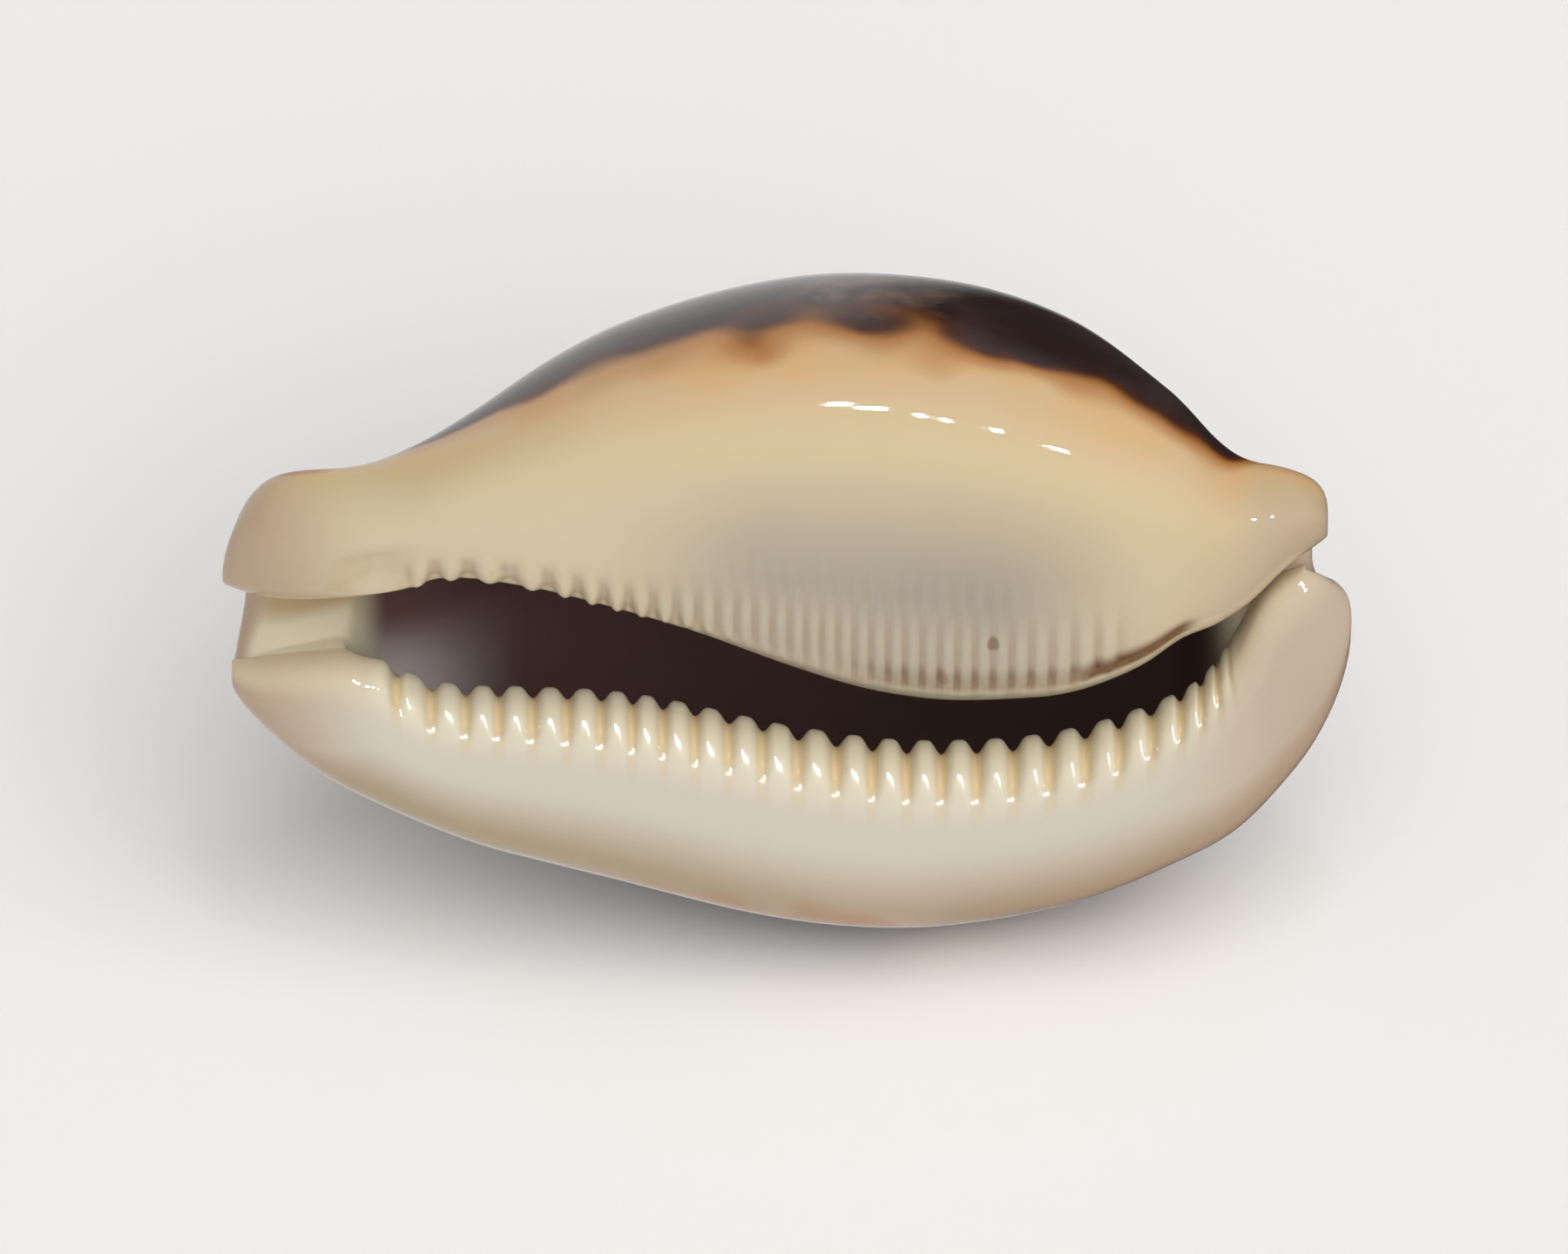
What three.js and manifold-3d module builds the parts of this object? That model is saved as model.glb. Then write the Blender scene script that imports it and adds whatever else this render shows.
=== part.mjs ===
import * as THREE from "three";
import Module from "manifold-3d";

// Driving sizes, in mm. In a section x runs from the front canal to the rear canal,
// y towards the inner lip and z from the base up to the back of the shell.
const halfLength = 32.5;
const wallOfBack = 2.3;
const wallOfSides = 3.0;
const frontCap = 3.8;
const rearCap = 4.4;
const canalDepth = 6.4;
const sideTurn = THREE.MathUtils.degToRad(75);
const restFlatDepth = 0.55;
const outerToothHeight = 0.42;
const frontKnobHeight = 0.27;
const innerRibHeight = 0.14;
const firstGap = -22.1;
const lastGap = 19.14;
const ribCount = 33;
const foldHollow = 1.0;
const shellColour = "#e6dccb";

// Outlines along the shell, as pairs of place and value.
const outerMargin = outline([-32.5, -3.4, -30, -5.6, -27, -8.3, -20, -12, -10, -16, 0, -19.2,
  8, -19.7, 16, -18, 22, -15.5, 26, -12.9, 29.5, -8.8, 32.5, -5]);
const innerMargin = outline([-32.5, 10.8, -29, 11.5, -24, 11.8, -18, 14, -10, 17.3, 0, 19.2,
  8, 19, 16, 17.2, 22, 14.3, 26, 11.8, 29.5, 11.2, 32.5, 11]);
const backHeight = outline([-32.5, 9.6, -29, 10.4, -25, 12.3, -20, 16.2, -14, 22.6, -8, 26.7,
  0, 30, 6, 30.7, 12, 29.8, 18, 26.2, 22, 21.3, 25, 16.3, 27.5, 13.3, 30, 12, 32.5, 11.4]);
const outerLipEdge = outline([-32.5, -1.2, -28, -0.1, -24.5, 0.3, -23.5, 0.05, -21.6, -1, -19.5, -1.5,
  -15, -1.55, -10, -1.75, -6.4, -2.4, -2.4, -3.45, 1.7, -4.45, 5.9, -5.05, 10, -5.15, 14.1, -4.9,
  18.3, -4, 22, -2.55, 25, -0.85, 27.2, 1.2, 29.5, 3.9, 32.5, 5]);
const innerLipEdge = outline([-32.5, 3.8, -30.5, 3.7, -26, 4.3, -22, 5.2, -20, 6, -15.4, 5.6,
  -10.3, 4.05, -5.3, 1.9, 0, -1.2, 4.8, -3.5, 9, -4.4, 13, -4.3, 16, -3.75, 18.5, -2.55,
  20.5, -1.05, 22.7, 1, 25, 2.05, 27.5, 3.45, 30, 5.35, 32.5, 6.7]);
const outerLipRoll = outline([-32.5, 2, -26, 2.7, -20, 3.5, -10, 4.1, 0, 4.2, 18, 4.2, 24, 3.6,
  28, 3, 32.5, 2]);
const innerLipRoll = outline([-32.5, 3, -20, 3, -10, 3.8, -5, 4.8, 0, 6.5, 6, 8, 13, 8,
  18, 6.8, 22, 4.8, 26, 3.8, 32.5, 3.2]);
const baseLift = outline([-32.5, 2.8, -28, 1.6, -22, 0.7, -12, 0.1, 0, 0, 10, 0, 20, 0.5,
  26, 1.4, 32.5, 3.4]);
const outerTeeth = [-23.5, -21.6, -19.5, -17.6, -15.7, -13.7, -11.7, -9.8, -8.1, -6.3, -4.4,
  -2.4, -0.5, 1.7, 3.9, 5.9, 7.9, 9.9, 12, 14.1, 16.2, 18.3, 20.1, 22, 23.5, 24.9, 26.1, 27];

// The ribs of the inner lip are counted along the shell, with a whole number in each gap.
const ribNumber = outline([firstGap, 0, -18.3, 2, -13.7, 4, -9.1, 7, -5.15, 10, -0.86, 14, 3.84, 19,
  8.74, 24, 14, 29, lastGap, ribCount]);

// Where the rings stand near the ends, and where the points stand round half a ring.
const capSteps = [0.98, 0.93, 0.83, 0.68, 0.48, 0.22];
const frontRings = [-28.2, -27.2, -26.2, -25.3, -24.4, -23.5, -22.8];
const rearRings = [19.8, 20.4, 21.05, 22, 22.75, 23.5, 24.2, 24.9, 25.5, 26.1, 26.6, 27.2];
const ringPlaces = [-0.5, 0, 0.5, 1, 1.5, 2, 2.6, 3.4, 4.4, 5.5, 6.6, 7.7, 8.8, 9.9, 11, 12.1, 13.2,
  14.3, 15.4, 16.5, 17.6, 18.7, 19.8, 21, 22.1, 23, 23.6, 24.2, 24.8, 25.4, 26, 26.7, 27.5];

function outline(pairs) {
  const places = pairs.filter((value, i) => i % 2 === 0);
  const values = pairs.filter((value, i) => i % 2 === 1);
  const line = new THREE.CubicInterpolant(places, values, 1, [0]);
  return (x) => line.evaluate(x)[0];
}

function ease(from, to, x) {
  return THREE.MathUtils.smoothstep(x, from, to);
}

function band(a, b, c, d, x) {
  return ease(a, b, x) * (1 - ease(c, d, x));
}

// Everything a section needs to know about the shell at one place along it.
function measures(x) {
  const base = baseLift(x);
  const roll = innerLipRoll(x);
  const outer = outerMargin(x);
  const inner = innerMargin(x);
  const back = backHeight(x);
  const outerLip = outerLipEdge(x);
  const innerLip = innerLipEdge(x);
  const ends = ease(16, 29, Math.abs(x));
  const side = base + (0.3 + 0.18 * ends) * (back - base);
  const outerRoll = outerLipRoll(x);
  const lipEdge = outerLip + 1.8 - 0.72 * outerRoll;
  return { base, roll, outer, inner, back, outerLip, innerLip, ends, side, outerRoll, lipEdge };
}

// The outside of a section, from the outer lip round the margin and the back to the inner lip.
function outsideOf(m) {
  const rise = m.side - m.base;
  const outerBase = m.outerLip - m.outer;
  const rollCentre = m.innerLip + m.roll;
  const innerBase = m.inner - rollCentre;
  const points = [];
  for (const degrees of [102, 77, 52, 27]) {
    const turn = THREE.MathUtils.degToRad(degrees);
    const inwards = m.lipEdge - m.outerRoll * (1 - Math.sin(turn));
    points.push([inwards, m.base + m.outerRoll * (1 - Math.cos(turn))]);
  }
  points.push([m.outerLip - 0.43 * outerBase, m.base]);
  points.push([m.outer + 0.33 * outerBase, m.base + 0.09 * rise]);
  points.push([m.outer + 0.13 * outerBase, m.base + 0.28 * rise]);
  points.push([m.outer + 0.03 * outerBase, m.base + 0.62 * rise]);
  points.push([m.outer, m.side]);
  const middle = (m.outer + m.inner) / 2;
  const halfWidth = (m.inner - m.outer) / 2;
  for (let step = 9; step >= 1; step--) {
    const turn = THREE.MathUtils.degToRad(18 * step);
    const waist = 1 - 0.16 * m.ends * Math.sin(turn) ** 2;
    const crown = Math.sin(turn) ** (1 + 0.35 * m.ends);
    points.push([middle + halfWidth * Math.cos(turn) * waist, m.side + (m.back - m.side) * crown]);
  }
  points.push([m.inner, m.side]);
  points.push([m.inner - 0.03 * innerBase, m.base + 0.62 * rise]);
  points.push([m.inner - 0.13 * innerBase, m.base + 0.28 * rise]);
  points.push([m.inner - 0.33 * innerBase, m.base + 0.09 * rise]);
  points.push([rollCentre + 0.3 * innerBase, m.base + 0.1]);
  for (const degrees of [0, 25, 50, 75, 95]) {
    const turn = THREE.MathUtils.degToRad(degrees);
    points.push([rollCentre - m.roll * Math.sin(turn), m.base + 0.2 + m.roll * (1 - Math.cos(turn))]);
  }
  return points;
}

// The inside of a section over the hollow of the shell, in the same order as the outside.
function hollowOf(m) {
  const outerBase = m.outerLip - m.outer;
  const rollCentre = m.innerLip + m.roll;
  const rollHeight = m.base + m.roll + 0.2;
  const lip = m.base + m.outerRoll + 1.3;
  const thin = 1 - 0.35 * m.ends;
  const points = [
    [m.lipEdge - 0.9, lip],
    [m.lipEdge - 0.12 * outerBase, lip + 0.7 * thin],
    [m.outerLip - 0.36 * outerBase, lip + 1.5 * thin],
    [m.outerLip - 0.52 * outerBase, lip + 2.1 * thin],
    [m.outer + 0.34 * outerBase, m.side + 1],
    [m.outer + 0.27 * outerBase, m.side + 2],
    [m.outer + 0.235 * outerBase, m.side + 3],
  ];
  const wall = wallOfSides + 1.3 * m.ends;
  const middle = (m.outer + m.inner) / 2;
  const halfWidth = (m.inner - m.outer) / 2 - wall;
  const floor = m.side + 4 - 2 * m.ends;
  const crown = m.back - wallOfBack - 1.2 * m.ends - floor;
  for (const degrees of [172, 160, 148, 132, 112, 90, 68, 48, 32, 20, 8]) {
    const turn = THREE.MathUtils.degToRad(degrees);
    const waist = 1 - 0.16 * m.ends * Math.sin(turn) ** 2;
    points.push([middle + halfWidth * Math.cos(turn) * waist, floor + crown * Math.sin(turn)]);
  }
  const lobe = Math.min(rollHeight + 0.35 * m.roll + 1.6, floor + 1);
  const shelf = m.inner - 4.6 - rollCentre;
  points.push([m.inner - 3.3 - m.ends, lobe + 1.6]);
  points.push([m.inner - 4.3 - m.ends, lobe + 0.2]);
  points.push([rollCentre + 0.62 * shelf, lobe - 0.5]);
  points.push([rollCentre + 0.3 * shelf, lobe - 0.4]);
  points.push([rollCentre + 0.02 * m.roll, lobe - 0.1]);
  points.push([rollCentre - 0.4 * m.roll, lobe - 0.1]);
  points.push([rollCentre - 0.75 * m.roll, rollHeight + 0.35 * m.roll + 0.9]);
  points.push([rollCentre - 0.93 * m.roll, rollHeight + 0.35 * m.roll]);
  points.push([rollCentre - 0.985 * m.roll, rollHeight + 0.22 * m.roll]);
  points.push([rollCentre - m.roll, rollHeight + 0.15 * m.roll]);
  return points;
}

// The inside of a section through one of the two end canals, again in the same order.
function canalOf(m, count) {
  const roof = m.base + Math.min(canalDepth, 0.6 * (m.back - m.base)) - 1;
  const lowOuter = m.base + 1.4 * m.outerRoll;
  const lowInner = m.base + 0.2 + 1.1 * m.roll;
  const left = m.lipEdge - 0.2;
  const points = [];
  for (let i = 0; i < count; i++) {
    const t = i / (count - 1);
    const up = Math.min(t / 0.33, 1);
    const across = THREE.MathUtils.clamp((t - 0.33) / 0.34, 0, 1);
    const down = Math.max((t - 0.67) / 0.33, 0);
    const roofed = roof + Math.sin(Math.PI * across);
    const height = t < 0.33 ? THREE.MathUtils.lerp(lowOuter, roof, up)
      : THREE.MathUtils.lerp(roofed, lowInner, down);
    points.push([THREE.MathUtils.lerp(left, m.innerLip, across), height]);
  }
  return points;
}

// Both skins of a section. They close on each other where the shell ends.
function skins(x) {
  const m = measures(x);
  const outside = outsideOf(m);
  const hollow = hollowOf(m);
  const canal = canalOf(m, outside.length);
  const canalShare = Math.max(1 - ease(-25.8, -23.4, x), ease(22.5, 27.5, x));
  const intoCap = Math.max(0, (frontCap - halfLength - x) / frontCap, (x - halfLength + rearCap) / rearCap);
  const open = Math.sqrt(1 - intoCap ** 3);
  const inside = hollow.map((p, i) => mixPoints(p, canal[i], canalShare));
  const closed = outside.map((p, i) => mixPoints(p, inside[i], 0.5));
  return [
    ...closed.map((p, i) => mixPoints(p, outside[i], open)),
    ...closed.map((p, i) => mixPoints(p, inside[i], open)).reverse(),
  ];
}

function mixPoints(a, b, share) {
  return [THREE.MathUtils.lerp(a[0], b[0], share), THREE.MathUtils.lerp(a[1], b[1], share)];
}

// A point of the smooth closed line guided by the section points, and the way it faces.
function smoothPoint(points, place) {
  const whole = Math.floor(place);
  const t = place - whole;
  const weights = [(1 - t) ** 3, 3 * t ** 3 - 6 * t * t + 4, -3 * t ** 3 + 3 * t * t + 3 * t + 1, t ** 3];
  const slopes = [-((1 - t) ** 2), 3 * t * t - 4 * t, -3 * t * t + 2 * t + 1, t * t];
  const spot = new THREE.Vector2();
  const facing = new THREE.Vector2();
  for (let i = 0; i < 4; i++) {
    const [y, z] = points[(whole + i - 1 + points.length) % points.length];
    spot.add(new THREE.Vector2(y, z).multiplyScalar(weights[i] / 6));
    facing.add(new THREE.Vector2(-z, y).multiplyScalar(slopes[i]));
  }
  return { spot, facing: facing.normalize() };
}

// How far a point stands out for the teeth, the ribs and the hollow of the front fold.
function relief(x, place, turns) {
  const lip = place > 1.5 * turns / 2 ? place - turns : place;
  let height = 0;
  if (x > outerTeeth[0] && x < outerTeeth.at(-1)) {
    const next = outerTeeth.findIndex((tooth) => tooth >= x);
    const phase = next - (outerTeeth[next] - x) / (outerTeeth[next] - outerTeeth[next - 1]);
    const wave = 1 - 2 * Math.sin(Math.PI * phase) ** 4;
    const reach = wave > 0 ? band(-1.6, -0.6, 1.5, 2.8, lip) : band(-1.6, -0.6, 1.9, 2.5, lip);
    const size = (x < 0 ? 0.8 : 1) * (1 - 0.35 * ease(18, 26, x)) * band(-24.5, -22.5, 25, 27.5, x);
    height += outerToothHeight * size * reach * wave;
  }
  if (x > firstGap - 0.5 && x < lastGap + 0.8) {
    const along = ease(-11, -1, x);
    const [start, stop] = [22.9 - 0.6 * along, 24.8 - 0.9 * along];
    const share = band(firstGap - 0.5, firstGap + 0.5, lastGap - 1, lastGap + 0.8, x);
    const ribs = band(start, start + 1, stop, stop + 0.8, place) * Math.cos(2 * Math.PI * ribNumber(x));
    height -= THREE.MathUtils.lerp(frontKnobHeight, innerRibHeight, along) * share * ribs;
  }
  height -= foldHollow * Math.exp(-(((x + 23.6) / 1.9) ** 2)) * band(21.5, 23, 24, 25.4, place);
  return height;
}

// The ends of the shell are not cut square: each part of the edge stops at its own length.
function endSlant(x, place, turns) {
  const across = Math.min(place, turns - 1 - place) / (turns / 2 - 1);
  const share = THREE.MathUtils.clamp(across, 0, 1);
  const front = share < 0.5 ? THREE.MathUtils.lerp(0.45, 1.3, ease(0.3, 0.5, share))
    : 1.3 * (1 - ease(0.55, 0.85, share)) + 0.9 * ease(0.88, 0.98, share);
  const rear = share < 0.5 ? 2.7 * (1 - ease(0.05, 0.18, share)) + 2.2 * ease(0.25, 0.45, share)
    : THREE.MathUtils.lerp(2.2, 1.45, ease(0.5, 0.72, share));
  return front * (1 - ease(-halfLength, -24, x)) - rear * ease(22, halfLength, x);
}

function ring(x) {
  const points = skins(x);
  const turns = points.length;
  const inside = ringPlaces.filter((place, i) => i % 2 === 0).slice(1, -1).reverse();
  const places = [...ringPlaces, ...inside.map((place) => turns - 1 - place)];
  return places.map((place) => {
    const { spot, facing } = smoothPoint(points, place);
    spot.addScaledVector(facing, relief(x, place, turns));
    return new THREE.Vector3(x + endSlant(x, place, turns), spot.x, spot.y);
  });
}

// The place along the shell where the count of the ribs comes to a number.
function placeOfRib(number) {
  let [low, high] = [firstGap, lastGap];
  for (let i = 0; i < 30; i++) {
    const middle = (low + high) / 2;
    if (ribNumber(middle) < number) low = middle;
    else high = middle;
  }
  return low;
}

// Rings stand on each rib and in each gap, and closer along the broad front knobs.
function ringStations() {
  const front = capSteps.map((step) => -halfLength + frontCap * (1 - step));
  const rear = capSteps.map((step) => halfLength - rearCap * (1 - step)).reverse();
  const knobs = Array.from({ length: 16 }, (value, i) => placeOfRib(i / 4));
  const ribs = Array.from({ length: 2 * ribCount - 7 }, (value, i) => placeOfRib(4 + i / 2));
  return [...front, ...frontRings, ...knobs, ...ribs, ...rearRings, ...rear];
}

// The shell lies on its outer side with the opening turned to the front and a little up.
function laidDown(point) {
  const cos = Math.cos(sideTurn);
  const sin = Math.sin(sideTurn);
  return [point.x, point.y * cos + point.z * sin, point.y * sin - point.z * cos];
}

// The narrow face between the two skins on the first or the last ring.
function endFaces(start) {
  const last = ringPlaces.length - 1;
  const across = (k) => (k === 0 || k === last ? start + k : start + last + (last - k) / 2);
  const faces = [];
  for (let k = 0; k < last; k += 2) {
    const [near, far] = [across(k), across(k + 2)];
    if (k > 0) faces.push([start + k, start + k + 1, near]);
    if (k + 2 < last) faces.push([start + k + 1, start + k + 2, far]);
    if (near !== far) faces.push([start + k + 1, far, near]);
  }
  return faces;
}

function skinMesh() {
  const rings = ringStations().map(ring);
  const around = rings[0].length;
  const corners = rings.flat().flatMap(laidDown);
  const faces = [];
  for (let i = 0; i < rings.length - 1; i++) {
    for (let j = 0; j < around; j++) {
      const next = (j + 1) % around;
      const [a, b] = [i * around + j, i * around + next];
      faces.push(a, b, a + around, b, b + around, a + around);
    }
  }
  for (const [a, b, c] of endFaces(0)) faces.push(a, c, b);
  for (const [a, b, c] of endFaces((rings.length - 1) * around)) faces.push(a, b, c);
  return { corners, faces };
}

// The finished solid: the skin closed up, a small flat ground where it rests, middle at the origin.
async function shellGeometry() {
  const wasm = await Module();
  wasm.setup();
  const { corners, faces } = skinMesh();
  const skin = new wasm.Mesh({
    numProp: 3,
    vertProperties: new Float32Array(corners),
    triVerts: new Uint32Array(faces),
  });
  const solid = new wasm.Manifold(skin);
  const { min, max } = solid.boundingBox();
  const middle = [-(min[0] + max[0]) / 2, -(min[1] + max[1]) / 2, -min[2] - restFlatDepth];
  const rested = solid.translate(middle).trimByPlane([0, 0, 1], 0);
  const mesh = rested.getMesh();
  const geometry = new THREE.BufferGeometry();
  geometry.setAttribute("position", new THREE.BufferAttribute(mesh.vertProperties, 3));
  geometry.setIndex(new THREE.BufferAttribute(mesh.triVerts, 1));
  geometry.computeVertexNormals();
  return geometry;
}

const glaze = new THREE.MeshStandardMaterial({ color: shellColour, roughness: 0.18, metalness: 0 });
glaze.name = "shell_glaze";
const shell = new THREE.Mesh(await shellGeometry(), glaze);
shell.name = "shell";
const group = new THREE.Group();
group.name = "panther_cowrie";
group.add(shell);

export default group;
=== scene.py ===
import math

import bmesh
import bpy
import numpy as np
from mathutils import Matrix, Vector


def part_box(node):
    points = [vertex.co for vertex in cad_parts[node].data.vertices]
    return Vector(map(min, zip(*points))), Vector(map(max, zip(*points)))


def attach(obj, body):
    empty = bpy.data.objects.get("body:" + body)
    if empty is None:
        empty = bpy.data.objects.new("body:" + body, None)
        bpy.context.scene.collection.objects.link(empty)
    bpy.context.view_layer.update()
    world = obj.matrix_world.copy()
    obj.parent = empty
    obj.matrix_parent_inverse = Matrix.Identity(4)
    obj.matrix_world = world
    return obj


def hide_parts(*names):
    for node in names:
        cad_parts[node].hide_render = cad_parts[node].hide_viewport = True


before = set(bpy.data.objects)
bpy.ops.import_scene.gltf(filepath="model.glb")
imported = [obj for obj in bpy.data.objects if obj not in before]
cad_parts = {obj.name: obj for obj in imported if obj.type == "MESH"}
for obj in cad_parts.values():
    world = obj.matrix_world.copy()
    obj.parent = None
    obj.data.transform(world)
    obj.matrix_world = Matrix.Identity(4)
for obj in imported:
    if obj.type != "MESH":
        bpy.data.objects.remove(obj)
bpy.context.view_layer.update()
mm = 0.001


# small helpers

def ease(low, high, x):
    t = np.clip((x - low) / (high - low), 0, 1)
    return t * t * (3 - 2 * t)


def band(a, b, c, d, x):
    return ease(a, b, x) * (1 - ease(c, d, x))


def lerp(a, b, t):
    return a + (b - a) * t


def outline(*pairs):
    # a smooth line through (place, value) pairs, with the slope at a pair the mean of its two sides
    xs = np.array(pairs[0::2], float)
    ys = np.array(pairs[1::2], float)
    side = np.diff(ys) / np.diff(xs)
    slope = np.concatenate([side[:1], (side[1:] + side[:-1]) / 2, side[-1:]])

    def at(x):
        i = np.clip(np.searchsorted(xs, x) - 1, 0, len(xs) - 2)
        w = xs[i + 1] - xs[i]
        t = np.clip((x - xs[i]) / w, 0, 1)
        a = (2 * t**3 - 3 * t**2 + 1) * ys[i] + (3 * t**2 - 2 * t**3) * ys[i + 1]
        return a + w * ((t**3 - 2 * t**2 + t) * slope[i] + (t**3 - t**2) * slope[i + 1])
    return at


# the shell, in mm, built base down with x along it from the front to the rear

shell = {
    "halfLength": 32.5, "backWall": 2.3, "sideWall": 3.0, "frontCap": 3.8, "rearCap": 4.4,
    "canalDepth": 6.4, "sideTurn": 75, "restFlat": 0.55,
    "toothHeight": 0.42, "knobHeight": 0.27, "ribHeight": 0.14, "gaps": (-22.1, 19.14),
    "foldAt": -23.6, "foldHollow": 1.0,
    # the mesh: rings along the shell, columns round it and how far they crowd at the lips
    "rings": 448, "capRings": 14, "around": 220, "crowding": 0.55, "weld": 0.004,
}
outerMargin = outline(-32.5, -3.4, -30, -5.6, -27, -8.3, -20, -12, -10, -16, 0, -19.2, 8, -19.7,
                      16, -18, 22, -15.5, 26, -12.9, 29.5, -8.8, 32.5, -5)
innerMargin = outline(-32.5, 10.8, -29, 11.5, -24, 11.8, -18, 14, -10, 17.3, 0, 19.2, 8, 19,
                      16, 17.2, 22, 14.3, 26, 11.8, 29.5, 11.2, 32.5, 11)
backHeight = outline(-32.5, 9.6, -29, 10.4, -25, 12.3, -20, 16.2, -14, 22.6, -8, 26.7, 0, 30,
                     6, 30.7, 12, 29.8, 18, 26.2, 22, 21.3, 25, 16.3, 27.5, 13.3, 30, 12, 32.5, 11.4)
outerLipEdge = outline(-32.5, -1.2, -28, -0.1, -24.5, 0.3, -23.5, 0.05, -21.6, -1, -19.5, -1.5,
                       -15, -1.55, -10, -1.75, -6.4, -2.4, -2.4, -3.45, 1.7, -4.45, 5.9, -5.05,
                       10, -5.15, 14.1, -4.9, 18.3, -4, 22, -2.55, 25, -0.85, 27.2, 1.2,
                       29.5, 3.9, 32.5, 5)
innerLipEdge = outline(-32.5, 3.8, -30.5, 3.7, -26, 4.3, -22, 5.2, -20, 6, -15.4, 5.6, -10.3, 4.05,
                       -5.3, 1.9, 0, -1.2, 4.8, -3.5, 9, -4.4, 13, -4.3, 16, -3.75, 18.5, -2.55,
                       20.5, -1.05, 22.7, 1, 25, 2.05, 27.5, 3.45, 30, 5.35, 32.5, 6.7)
outerLipRoll = outline(-32.5, 2, -26, 2.7, -20, 3.5, -10, 4.1, 0, 4.2, 18, 4.2, 24, 3.6,
                       28, 3, 32.5, 2)
innerLipRoll = outline(-32.5, 3, -20, 3, -10, 3.8, -5, 4.8, 0, 6.5, 6, 8, 13, 8, 18, 6.8,
                       22, 4.8, 26, 3.8, 32.5, 3.2)
baseLift = outline(-32.5, 2.8, -28, 1.6, -22, 0.7, -12, 0.1, 0, 0, 10, 0, 20, 0.5, 26, 1.4, 32.5, 3.4)
# the ribs counted along the inner lip, with a whole number in each gap
ribNumber = outline(-22.1, 0, -18.3, 2, -13.7, 4, -9.1, 7, -5.15, 10, -0.86, 14, 3.84, 19,
                    8.74, 24, 14, 29, 19.14, 33)
outerTeeth = [-23.5, -21.6, -19.5, -17.6, -15.7, -13.7, -11.7, -9.8, -8.1, -6.3, -4.4, -2.4,
              -0.5, 1.7, 3.9, 5.9, 7.9, 9.9, 12, 14.1, 16.2, 18.3, 20.1, 22, 23.5, 24.9, 26.1, 27]


def measures(x):
    # what a section needs to know about the shell at one place along it
    m = {"base": baseLift(x), "roll": innerLipRoll(x), "outer": outerMargin(x),
         "inner": innerMargin(x), "back": backHeight(x), "lipOut": outerLipEdge(x),
         "lipIn": innerLipEdge(x), "ends": ease(16, 29, abs(x)), "outerRoll": outerLipRoll(x)}
    m["lipEdge"] = m["lipOut"] + 1.8 - 0.72 * m["outerRoll"]
    m["side"] = m["base"] + (0.3 + 0.18 * m["ends"]) * (m["back"] - m["base"])
    m["rollAt"] = m["lipIn"] + m["roll"]
    return m


def outsideOf(m):
    # from the outer lip round the margin and over the back to the inner lip
    base, rise, lip, edge = m["base"], m["side"] - m["base"], m["lipOut"], m["outer"]
    wide, roll, points = lip - edge, m["outerRoll"], []
    for turn in np.radians([102, 77, 52, 27]):
        points.append((m["lipEdge"] - roll * (1 - math.sin(turn)), base + roll * (1 - math.cos(turn))))
    points += [(lip - 0.43 * wide, base), (edge + 0.33 * wide, base + 0.09 * rise),
               (edge + 0.13 * wide, base + 0.28 * rise), (edge + 0.03 * wide, base + 0.62 * rise),
               (edge, m["side"])]
    middle, half = (m["outer"] + m["inner"]) / 2, (m["inner"] - m["outer"]) / 2
    for turn in np.radians(np.arange(162, 0, -18)):
        waist = 1 - 0.16 * m["ends"] * math.sin(turn) ** 2
        crown = math.sin(turn) ** (1 + 0.35 * m["ends"])
        height = m["side"] + (m["back"] - m["side"]) * crown
        points.append((middle + half * math.cos(turn) * waist, height))
    edge, wide = m["inner"], m["inner"] - m["rollAt"]
    points += [(edge, m["side"]), (edge - 0.03 * wide, base + 0.62 * rise),
               (edge - 0.13 * wide, base + 0.28 * rise), (edge - 0.33 * wide, base + 0.09 * rise),
               (m["rollAt"] + 0.3 * wide, base + 0.1)]
    roll = m["roll"]
    for turn in np.radians([0, 25, 50, 75, 95]):
        height = base + 0.2 + roll * (1 - math.cos(turn))
        points.append((m["rollAt"] - roll * math.sin(turn), height))
    return np.array(points)


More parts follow.
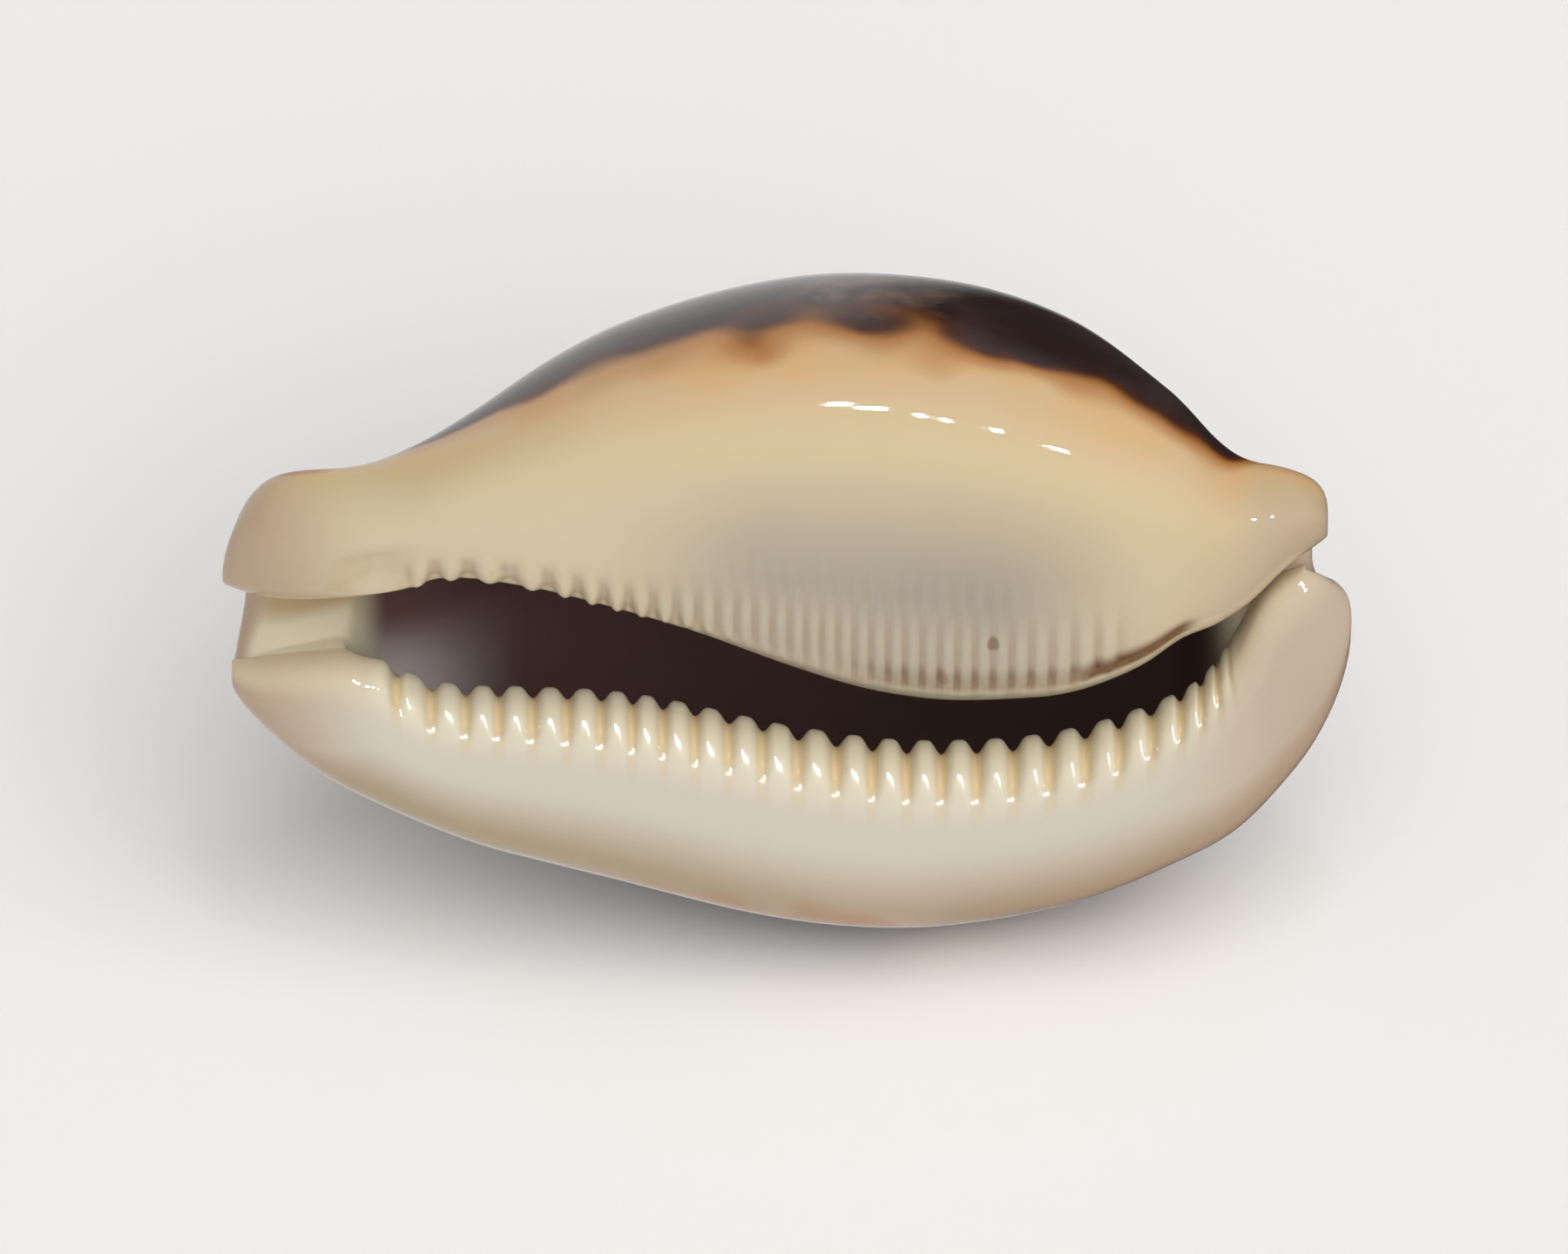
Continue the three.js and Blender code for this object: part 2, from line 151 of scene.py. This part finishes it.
def hollowOf(m):
    # the inside over the hollow, in the same order
    lip, edge, side = m["lipOut"], m["outer"], m["side"]
    wide, low, thin = lip - edge, m["base"] + m["outerRoll"] + 1.3, 1 - 0.35 * m["ends"]
    points = [(m["lipEdge"] - 0.9, low), (m["lipEdge"] - 0.12 * wide, low + 0.7 * thin),
              (lip - 0.36 * wide, low + 1.5 * thin), (lip - 0.52 * wide, low + 2.1 * thin),
              (edge + 0.34 * wide, side + 1), (edge + 0.27 * wide, side + 2),
              (edge + 0.235 * wide, side + 3)]
    middle = (m["outer"] + m["inner"]) / 2
    half = (m["inner"] - m["outer"]) / 2 - shell["sideWall"] - 1.3 * m["ends"]
    floor = side + 4 - 2 * m["ends"]
    crown = m["back"] - shell["backWall"] - 1.2 * m["ends"] - floor
    for turn in np.radians([172, 160, 148, 132, 112, 90, 68, 48, 32, 20, 8]):
        waist = 1 - 0.16 * m["ends"] * math.sin(turn) ** 2
        points.append((middle + half * math.cos(turn) * waist, floor + crown * math.sin(turn)))
    roll, at, high = m["roll"], m["rollAt"], m["base"] + m["roll"] + 0.2
    lobe, shelf = min(high + 0.35 * roll + 1.6, floor + 1), m["inner"] - 4.6 - m["rollAt"]
    points += [(m["inner"] - 3.3 - m["ends"], lobe + 1.6), (m["inner"] - 4.3 - m["ends"], lobe + 0.2),
               (at + 0.62 * shelf, lobe - 0.5), (at + 0.3 * shelf, lobe - 0.4),
               (at + 0.02 * roll, lobe - 0.1), (at - 0.4 * roll, lobe - 0.1),
               (at - 0.75 * roll, high + 0.35 * roll + 0.9), (at - 0.93 * roll, high + 0.35 * roll),
               (at - 0.985 * roll, high + 0.22 * roll), (at - roll, high + 0.15 * roll)]
    return np.array(points)


def canalOf(m, count):
    # the inside through an end canal: up the outer lip, across the roof, down the inner lip
    roof = m["base"] + min(shell["canalDepth"], 0.6 * (m["back"] - m["base"])) - 1
    t = np.linspace(0, 1, count)
    across = np.clip((t - 0.33) / 0.34, 0, 1)
    foot = m["base"] + 0.2 + 1.1 * m["roll"]
    rising = lerp(m["base"] + 1.4 * m["outerRoll"], roof, np.minimum(t / 0.33, 1))
    falling = lerp(roof + np.sin(np.pi * across), foot, np.maximum((t - 0.67) / 0.33, 0))
    height = np.where(t < 0.33, rising, falling)
    return np.column_stack([lerp(m["lipEdge"] - 0.2, m["lipIn"], across), height])


def skins(x):
    # both skins of a section, which close on each other where the shell ends
    m = measures(x)
    outside = outsideOf(m)
    share = max(1 - ease(-25.8, -23.4, x), ease(22.5, 27.5, x))
    inside = lerp(hollowOf(m), canalOf(m, len(outside)), share)
    cap = max(0, (shell["frontCap"] - shell["halfLength"] - x) / shell["frontCap"],
              (x - shell["halfLength"] + shell["rearCap"]) / shell["rearCap"])
    closed = (outside + inside) / 2
    reach = math.sqrt(max(0, 1 - cap**3))
    return np.vstack([lerp(closed, outside, reach), lerp(closed, inside, reach)[::-1]])


def toothWave(x):
    phase = np.interp(x, outerTeeth, np.arange(len(outerTeeth)))
    return (1 - 2 * math.sin(math.pi * phase) ** 4) * band(-24.5, -22.5, 25, 27.5, x)


def ribWave(x):
    first, last = shell["gaps"]
    return -math.cos(2 * math.pi * ribNumber(x)) * band(first - 0.5, first + 0.5, last - 1, last + 0.8, x)


def relief(x, place, turns):
    # teeth on the outer lip, ribs on the inner one, and the hollow by the front fold
    lip = np.where(place > 0.75 * turns, place - turns, place)
    wave, along = toothWave(x), ease(-11, -1, x)
    reach = band(-1.6, -0.6, 1.5, 2.8, lip) if wave > 0 else band(-1.6, -0.6, 1.9, 2.5, lip)
    smaller = (0.8 if x < 0 else 1) * (1 - 0.35 * ease(18, 26, x))
    height = shell["toothHeight"] * smaller * wave * reach
    start, stop = 22.9 - 0.6 * along, 24.8 - 0.9 * along
    ribs = ribWave(x) * band(start, start + 1, stop, stop + 0.8, place)
    height = height + lerp(shell["knobHeight"], shell["ribHeight"], along) * ribs
    fold = math.exp(-(((x - shell["foldAt"]) / 1.9) ** 2)) * band(21.5, 23, 24, 25.4, place)
    return height - shell["foldHollow"] * fold


def endSlant(x, place, turns):
    # the ends are not cut square: each part of the edge stops at its own length
    share = np.clip(np.minimum(place, turns - 1 - place) / (turns / 2 - 1), 0, 1)
    front = np.where(share < 0.5, lerp(0.45, 1.3, ease(0.3, 0.5, share)),
                     1.3 * (1 - ease(0.55, 0.85, share)) + 0.9 * ease(0.88, 0.98, share))
    rear = np.where(share < 0.5, 2.7 * (1 - ease(0.05, 0.18, share)) + 2.2 * ease(0.25, 0.45, share),
                    lerp(2.2, 1.45, ease(0.5, 0.72, share)))
    return front * (1 - ease(-shell["halfLength"], -24, x)) - rear * ease(22, shell["halfLength"], x)


def ring(x, place):
    # a smooth closed line guided by the section points
    points = skins(x)
    turns = len(points)
    whole = np.floor(place).astype(int)
    t = (place - whole)[:, None]
    near = [points[(whole + k) % turns] for k in (-1, 0, 1, 2)]
    weights = [(1 - t) ** 3, 3 * t**3 - 6 * t**2 + 4, -3 * t**3 + 3 * t**2 + 3 * t + 1, t**3]
    slopes = [-((1 - t) ** 2), 3 * t**2 - 4 * t, -3 * t**2 + 2 * t + 1, t**2]
    spot = sum(w * p for w, p in zip(weights, near)) / 6
    run = sum(s * p for s, p in zip(slopes, near))
    facing = np.column_stack([-run[:, 1], run[:, 0]])
    facing /= np.linalg.norm(facing, axis=1)[:, None] + 1e-9
    spot = spot + facing * relief(x, place, turns)[:, None]
    return np.column_stack([x + endSlant(x, place, turns), spot])


def stations():
    # evenly spaced, and closer and closer together in the end caps
    front, rear, caps = shell["frontCap"], shell["rearCap"], shell["capRings"]
    frontEdge, rearEdge = front - shell["halfLength"], shell["halfLength"] - rear
    inCap = np.sin(np.linspace(math.pi / 2, 0, caps + 1))[:-1]
    middle = np.linspace(frontEdge, rearEdge, shell["rings"] - 2 * caps)
    return np.concatenate([frontEdge - front * inCap, middle, rearEdge + rear * inCap[::-1]])


def laidDown(points):
    # on its outer side, with the slit turned to the front and a little up
    turn = math.radians(shell["sideTurn"])
    x, y, z = points[..., 0], points[..., 1], points[..., 2]
    across = y * math.cos(turn) + z * math.sin(turn)
    return np.stack([x, across, y * math.sin(turn) - z * math.cos(turn)], -1)


def setDown(spots):
    # centred on the frame's box and on the ground, with the small flat it rests on
    low, high = (np.array(corner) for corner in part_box("shell"))
    spots = spots * mm
    lowest, highest = spots.reshape(-1, 3).min(0), spots.reshape(-1, 3).max(0)
    spots[..., :2] += ((low + high) / 2 - (lowest + highest) / 2)[:2]
    spots[..., 2] -= lowest[2] + shell["restFlat"] * mm
    spots[..., 2] = np.maximum(spots[..., 2], 0)
    return spots


# how far the dark back reaches, as a place round the ring, at either side
darkToInner = outline(-24, 16.9, -20.4, 17.6, -15.4, 17.7, -8.3, 18.05, 1.3, 18.0, 9.9, 18.1,
                      15, 18.3, 22.5, 18.55, 25.5, 18.65, 28, 17.5)
darkToOuter = outline(-24, 9.5, -20, 8.0, -12, 6.7, -6, 6.2, 3, 6.2, 8, 6.9, 14, 7.3,
                      20, 7.8, 26, 9.2, 28, 10)
darkEnds = (-23.5, 27.5)
mmPerPlace = 2.9  # on the back, for distances from the dark edge


def buildShell():
    xs, across, turns = stations(), shell["around"], len(skins(0))
    step = np.arange(across + 1) / across
    crowd = turns / 2 * shell["crowding"] * np.sin(4 * math.pi * step) / (2 * math.pi)
    place = -0.5 + turns * step - crowd
    spots = setDown(laidDown(np.array([ring(x, place) for x in xs])))

    bm = bmesh.new()
    bmesh.ops.create_grid(bm, x_segments=len(xs) - 1, y_segments=across, size=1)
    # what the paint needs: the place round the ring counted alike on both skins, if it is on the
    # inside, mm into the dark back, crest or groove at the lips, and mm along the shell
    names = ("place", "inside", "dark", "tooth", "rib", "along")
    layers = {name: bm.verts.layers.float.new(name) for name in names}
    for v in bm.verts:
        i = round((v.co.x + 1) / 2 * (len(xs) - 1))
        j = round((v.co.y + 1) / 2 * across)
        x, p = float(xs[i]), float(place[j])
        outer = min(p, turns - 1 - p)
        depth = min(darkToInner(x) - outer, outer - darkToOuter(x)) * mmPerPlace
        v[layers["place"]] = outer
        v[layers["inside"]] = 1.0 if (turns - 1) / 2 < p < turns - 0.5 else 0.0
        v[layers["dark"]] = min(depth, x - darkEnds[0], darkEnds[1] - x)
        v[layers["tooth"]] = toothWave(x)
        v[layers["rib"]] = ribWave(x)
        v[layers["along"]] = x
        v.co = spots[i, j]
    bmesh.ops.remove_doubles(bm, verts=bm.verts, dist=shell["weld"] * mm)
    bmesh.ops.recalc_face_normals(bm, faces=bm.faces)
    for face in bm.faces:
        face.smooth = True
    mesh = bpy.data.meshes.new("shell_skin")
    bm.to_mesh(mesh)
    print("shell:", len(bm.faces), "faces, open edges", sum(not e.is_manifold for e in bm.edges))
    bm.free()
    obj = bpy.data.objects.new("shell_skin", mesh)
    bpy.context.collection.objects.link(obj)
    return obj


print("building the shell")
shellObject = buildShell()
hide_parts("shell")
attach(shellObject, "root")


# shader helpers

def colour(text):
    parts = [int(text[i:i + 2], 16) / 255 for i in (1, 3, 5)]
    return tuple(c / 12.92 if c <= 0.04045 else ((c + 0.055) / 1.055) ** 2.4 for c in parts) + (1,)


class Tree:
    # the nodes of a material or of the world
    def __init__(self, owner, shader="Principled BSDF"):
        owner.use_nodes = True
        self.nodes = owner.node_tree.nodes
        self.links = owner.node_tree.links
        self.shader = self.nodes[shader]

    def add(self, kind, settings, inputs):
        node = self.nodes.new("ShaderNode" + kind)
        for name, value in settings.items():
            setattr(node, name, value)
        self.fill(node, inputs)
        return node

    def fill(self, node, inputs):
        for name, value in inputs.items():
            if isinstance(value, Wire):
                self.links.new(value.socket, node.inputs[name])
            else:
                node.inputs[name].default_value = value

    def attribute(self, name):
        return Wire(self, self.add("Attribute", {"attribute_name": name}, {}).outputs["Fac"])

    def mix(self, a, b, share):
        node = self.add("Mix", {"data_type": "RGBA"}, {0: share, 6: a, 7: b})
        return Wire(self, node.outputs[2])


class Wire:
    # one output of a node, so that shader sums read like sums
    def __init__(self, tree, socket):
        self.tree = tree
        self.socket = socket

    def do(self, operation, a, b=0.0):
        node = self.tree.add("Math", {"operation": operation}, {0: a, 1: b})
        return Wire(self.tree, node.outputs[0])

    def __add__(self, other): return self.do("ADD", self, other)
    def __radd__(self, other): return self.do("ADD", other, self)
    def __sub__(self, other): return self.do("SUBTRACT", self, other)
    def __rsub__(self, other): return self.do("SUBTRACT", other, self)
    def __mul__(self, other): return self.do("MULTIPLY", self, other)
    def __rmul__(self, other): return self.do("MULTIPLY", other, self)

    def size(self): return self.do("ABSOLUTE", self)
    def atLeast(self, other): return self.do("MAXIMUM", self, other)

    def between(self, low, high, start=0.0, end=1.0):
        node = self.tree.add("MapRange", {"interpolation_type": "SMOOTHSTEP"}, {
            "Value": self, "From Min": low, "From Max": high, "To Min": start, "To Max": end})
        return Wire(self.tree, node.outputs[0])


# colours of the shell, some of them painted shade (the dark inside, the canal brown, the rib gaps, the
# lower margin) and a painted sheen (smoke), and the size and strength of what is scattered over it

glaze = {
    "cream": "#dccaa8", "outerCream": "#d9cfbd", "pink": "#bea188", "buff": "#b09a78",
    "peach": "#eab57c", "yellow": "#e2c692", "grey": "#b0a496", "white": "#dccfb6",
    "dark": "#33201f", "brown": "#5a3018", "halo": "#b4702c", "smoke": "#5b4a45",
    "marble": "#6b5540", "mantleLine": "#8f8378", "lipWhite": "#ece2c6", "lipYellow": "#ead09a",
    "ribGapShade": "#ab947a", "stain": "#6e4622", "inside": "#7c5f5a", "lilac": "#e6dbdd",
    "canal": "#c9af88", "roughness": 0.024,
}
pattern = {
    "peachPatches": 130, "greyClouds": 90, "lobes": 150, "lobeReach": 4.2, "spots": 230,
    "spotReach": 2.6, "smoke": 120, "marbleGrain": 500, "mantleAt": 11.2, "mantleBends": 60,
    "mantleWander": 1.6, "ragged": 700, "grooveDull": 0.2, "ripple": 260, "rippleDepth": 0.4,
}
# small stains on the inner lip: mm along, place, width, height and strength
stains = [(11.8, 23.2, 0.4, 0.16, 0.55), (8.9, 24.0, 0.35, 0.25, 0.4)]


class GlazeTree(Tree):
    # the shell's material, with what its mesh carries
    def __init__(self, material):
        super().__init__(material)
        self.place, self.inside, self.dark = map(self.attribute, ("place", "inside", "dark"))
        self.tooth, self.rib, self.along = map(self.attribute, ("tooth", "rib", "along"))
        self.spot = Wire(self, self.add("TexCoord", {}, {}).outputs["Object"])

    def noise(self, scale, detail=2.0):
        node = self.add("TexNoise", {}, {"Vector": self.spot, "Scale": scale, "Detail": detail})
        return Wire(self, node.outputs["Fac"]) - 0.5

    def cells(self, scale, smooth):
        node = self.add("TexVoronoi", {"feature": "SMOOTH_F1"},
                        {"Vector": self.spot, "Scale": scale, "Smoothness": smooth})
        return Wire(self, node.outputs["Distance"])

    def blot(self, x, at, wide, high):
        # a soft round mark at one place on the shell, 1 in its middle
        across = (self.along - x) * (1 / wide)
        up = (self.place - at) * (1 / high)
        ragged = self.noise(pattern["ragged"]) * 0.8
        return 1 - (across * across + up * up + ragged).between(0.3, 1.2)

    def tint(self, body, name, share):
        return self.mix(body, colour(glaze[name]), share)


def paintGround(tree):
    # cream, pinker at the margins and ends, with painted shade deepening the lower margin, peach high on
    # the inner side, grey on the base
    place, dark, along = tree.place, tree.dark, tree.along
    body = tree.tint(colour(glaze["outerCream"]), "cream", place.between(9, 19))
    ends = along.between(-31, -23, 1, 0).atLeast(along.between(20, 31, 0, 0.7))
    # the margin's own pink-buff tint, made darker as painted shade where the lower margin turns down
    margin = place.between(3.8, 5.5) * (1 - place.between(7.5, 9))
    rim = tree.tint(colour(glaze["buff"]), "pink", along.between(-6, 14).atLeast(ends))
    body = tree.mix(body, rim, (margin * 0.88).atLeast(ends * 0.85))
    high = place.between(14, 17)
    body = tree.tint(body, "yellow", dark.between(-12, -3) * high * 0.55)
    patches = 0.65 + tree.noise(pattern["peachPatches"]) * 2.2
    body = tree.tint(body, "peach", dark.between(-6.5, -0.5) * high * patches)
    base = place.between(20.5, 22.4) * (1 - place.between(24.6, 25.4))
    base = base * along.between(-13, 1) * (1 - along.between(12, 22))
    return tree.tint(body, "grey", base * (0.95 + tree.noise(pattern["greyClouds"]) * 0.8))


def paintBack(tree, body):
    # spots run together into one dark back, with an orange halo round them
    along = tree.along
    lobes = tree.noise(pattern["lobes"], 1.0) * pattern["lobeReach"]
    lobes = lobes + (0.45 - tree.cells(pattern["spots"], 0.5)) * pattern["spotReach"]
    edge = tree.dark + lobes * along.between(-12, 0, 0.4, 1)
    body = tree.tint(body, "halo", edge.between(-2.4, 0.1) * along.between(-14, 1, 0.35, 0.9))
    body = tree.tint(body, "brown", edge.between(-0.5, 0.6))
    # smoky grey over the left of the dark back: partly the shell's own smoky tone, partly a painted sheen
    smokyAndSheen = (1 - along.between(-12, 2)) * edge.between(1, 4) * 0.75
    clouds = tree.noise(pattern["smoke"], 3.0).between(-0.05, 0.2) * 0.5
    back = tree.tint(colour(glaze["dark"]), "smoke", clouds.atLeast(smokyAndSheen))
    marbled = tree.noise(pattern["marbleGrain"], 4.0).between(-0.15, 0.15)
    back = tree.tint(back, "marble", tree.blot(5, 17.2, 5.5, 0.7) * marbled)
    # the pale line where the two flaps of the mantle met
    wander = tree.noise(pattern["mantleBends"]) * pattern["mantleWander"]
    course = (tree.place - pattern["mantleAt"] + wander).size()
    back = tree.tint(back, "mantleLine", (1 - course.between(0.12, 0.45)) * 0.7)
    body = tree.mix(body, back, edge.between(0.2, 1.2))
    return tree.tint(body, "halo", tree.blot(-28.4, 17.5, 2.6, 0.8) * 0.75)


def paintLips(tree, body):
    # outer lip: white teeth, yellow between them
    place, along = tree.place, tree.along
    lips = 1 - place.between(1.8, 3.4)
    body = tree.tint(body, "lipWhite", lips * tree.tooth.between(-0.6, 0.6) * 0.85)
    body = tree.tint(body, "lipYellow", lips * (1 - tree.tooth.between(-0.9, 0.4)) * 0.75)
    # inner lip: ribs, painted shade in the gaps between them, brown stains between them at the edge, and
    # the small stains
    ribs = (place - along.between(-11, -1, 23, 22.4)).between(0, 0.9)
    ribs = ribs * (1 - place.between(24.3, 25.3)) * along.between(-22.5, -21)
    ribs = ribs * (1 - along.between(19, 21))
    gap = 1 - tree.rib.between(-0.8, 0.35)
    body = tree.tint(body, "white", ribs * 0.5)
    # painted shade: darker tan in the recesses between the ribs
    body = tree.tint(body, "ribGapShade", ribs * gap * 0.42)
    stained = place.between(23.6, 24.1) * (1 - place.between(24.3, 24.6))
    stained = stained * along.between(2, 7) * (1 - along.between(22.5, 24))
    body = tree.tint(body, "stain", stained * (0.34 + gap * 0.3).atLeast(along.between(15, 18)))
    for x, at, wide, high, strength in stains:
        body = tree.tint(body, "stain", tree.blot(x, at, wide, high) * strength)
    return body


def paintInside(tree, body):
    # the hollow, painted dark purple-brown as shade and lilac only at the front where light falls in, and
    # the canals up to their rims
    place, along = tree.place, tree.along
    # painted shade: the inside colour is darker than the shell's own lilac, which shows only where light
    # falls in
    lit = (1 - along.between(-22.5, -15)) * (1 - place.between(9.2, 11.4))
    hollow = tree.tint(colour(glaze["inside"]), "lilac", lit)
    canals = (1 - along.between(-24.6, -23.2)).atLeast(along.between(24, 27))
    # painted shade: the canal wall is cream, turning brown under its roof
    canal = tree.tint(colour(glaze["lipWhite"]), "canal", place.between(10.8, 13.6))
    hollow = tree.mix(hollow, canal, canals)
    deep = tree.inside * place.between(0.6, 2.6) * (1 - place.between(25.6, 26.6))
    deep = deep * along.between(-32.2, -31.2) * (1 - along.between(29.6, 30.8))
    return tree.mix(body, hollow, deep)


def paintShell():
    material = bpy.data.materials.new("shell_glaze")
    tree = GlazeTree(material)
    body = paintInside(tree, paintLips(tree, paintBack(tree, paintGround(tree))))
    # porcelain gloss, a little duller in the grooves of the outer lip
    grooves = tree.place.between(1.4, 1.9) * (1 - tree.place.between(2.8, 3.1))
    grooves = grooves * tree.along.between(-23.4, -22.4) * (1 - tree.along.between(26, 28))
    rough = glaze["roughness"] + tree.noise(400) * 0.012 + grooves * pattern["grooveDull"]
    ripple = tree.add("Bump", {}, {"Height": tree.noise(pattern["ripple"], 3.0), "Strength": 0.04,
                                   "Distance": pattern["rippleDepth"] * mm})
    tree.fill(tree.shader, {"Base Color": body, "Roughness": rough, "IOR": 1.5,
                            "Normal": Wire(tree, ripple.outputs["Normal"])})
    return material


print("painting the shell")
shellObject.data.materials.append(paintShell())


# floor, lights and camera

room = {"floor": "#fbfaf8", "floorSize": 6.0, "sky": 0.35, "behindLeft": 0.68, "behindRight": 0.03,
        "leftToRight": (-0.02, 0.12), "lowToSky": (0.02, 0.35), "aimHeight": 0.018,
        "key": 1.9, "keyFrom": (0.4, -0.5, 1.0), "keySoftness": 75}
view = {"elevation": 47, "distance": 1.2, "pxPerMm": 19.8, "right": -4, "down": -84, "height": 0.019,
        "photoWidth": 1800, "sensor": 36}
# the row of lamps: right, up and towards, seen from the camera, and width in mm
lamps = [(0.043, 0.70, 0.71, 28), (0.097, 0.645, 0.757, 38), (0.177, 0.574, 0.8, 11),
         (0.208, 0.54, 0.815, 7), (0.262, 0.48, 0.838, 9), (0.368, 0.34, 0.866, 24)]
lampRow = {"distance": 0.8, "height": 46, "wattsPerMm": 0.13}


def buildFloor():
    mesh = bpy.data.meshes.new("floor")
    bm = bmesh.new()
    bmesh.ops.create_grid(bm, x_segments=1, y_segments=1, size=room["floorSize"] / 2)
    bm.to_mesh(mesh)
    bm.free()
    paint = bpy.data.materials.new("floor")
    tree = Tree(paint)
    tree.fill(tree.shader, {"Base Color": colour(room["floor"]), "Roughness": 0.8})
    mesh.materials.append(paint)
    obj = bpy.data.objects.new("floor", mesh)
    bpy.context.collection.objects.link(obj)
    return obj


def lightRoom():
    # a dim room, brighter low down behind the shell on the left, which the dark back mirrors
    world = bpy.data.worlds.new("studio")
    bpy.context.scene.world = world
    tree = Tree(world, "Background")
    facing = Wire(tree, tree.add("TexCoord", {}, {}).outputs["Generated"])
    parts = tree.add("SeparateXYZ", {}, {"Vector": facing})
    across, height = Wire(tree, parts.outputs["X"]), Wire(tree, parts.outputs["Z"])
    low = across.between(*room["leftToRight"], room["behindLeft"], room["behindRight"])
    strength = height.between(*room["lowToSky"], low, room["sky"])
    tree.fill(tree.shader, {"Color": (1, 1, 1, 1), "Strength": strength})


def aim(obj, target):
    # its back to the target's far side and its own x level with the camera's
    way = (obj.location - Vector(target)).normalized()
    side = (Vector((1, 0, 0)) - way * way.x).normalized()
    obj.rotation_euler = Matrix((side, way.cross(side), way)).transposed().to_euler()


def addLight(name, kind, place, settings):
    lamp = bpy.data.lights.new(name, kind)
    for key, value in settings.items():
        setattr(lamp, key, value)
    obj = bpy.data.objects.new(name, lamp)
    obj.location = place
    bpy.context.collection.objects.link(obj)
    aim(obj, (0, 0, room["aimHeight"]))
    return obj


print("lighting the room")
floor = buildFloor()
floor.visible_glossy = False  # the glaze mirrors the room behind the shell, not the pale floor
lightRoom()

elevation = math.radians(view["elevation"])
towards = Vector((0, -math.cos(elevation), math.sin(elevation)))
upward = Vector((0, math.sin(elevation), math.cos(elevation)))
for number, (right, up, near, width) in enumerate(lamps, 1):
    way = (Vector((right, 0, 0)) + upward * up + towards * near).normalized()
    size = {"shape": "RECTANGLE", "size": width * mm, "size_y": lampRow["height"] * mm,
            "energy": width * lampRow["wattsPerMm"]}
    at = way * lampRow["distance"] + Vector((0, 0, room["aimHeight"]))
    addLight(f"lamp_{number}", "AREA", at, size).visible_diffuse = False  # only mirrored in the glaze
soft = {"energy": room["key"], "angle": math.radians(room["keySoftness"])}
addLight("key", "SUN", room["keyFrom"], soft).visible_glossy = False

camera = bpy.data.cameras.new("camera")
camera.sensor_width = view["sensor"]
pixel = mm / view["pxPerMm"]
camera.lens = view["sensor"] * view["distance"] / (view["photoWidth"] * pixel)
camera.clip_start = 0.01
cameraObject = bpy.data.objects.new("camera", camera)
bpy.context.collection.objects.link(cameraObject)
middle = Vector((view["right"] * pixel, 0, view["height"])) + upward * (view["down"] * pixel)
cameraObject.location = middle + towards * view["distance"]
aim(cameraObject, middle)
bpy.context.scene.camera = cameraObject
bpy.context.scene.view_settings.view_transform = "Standard"

print("done")
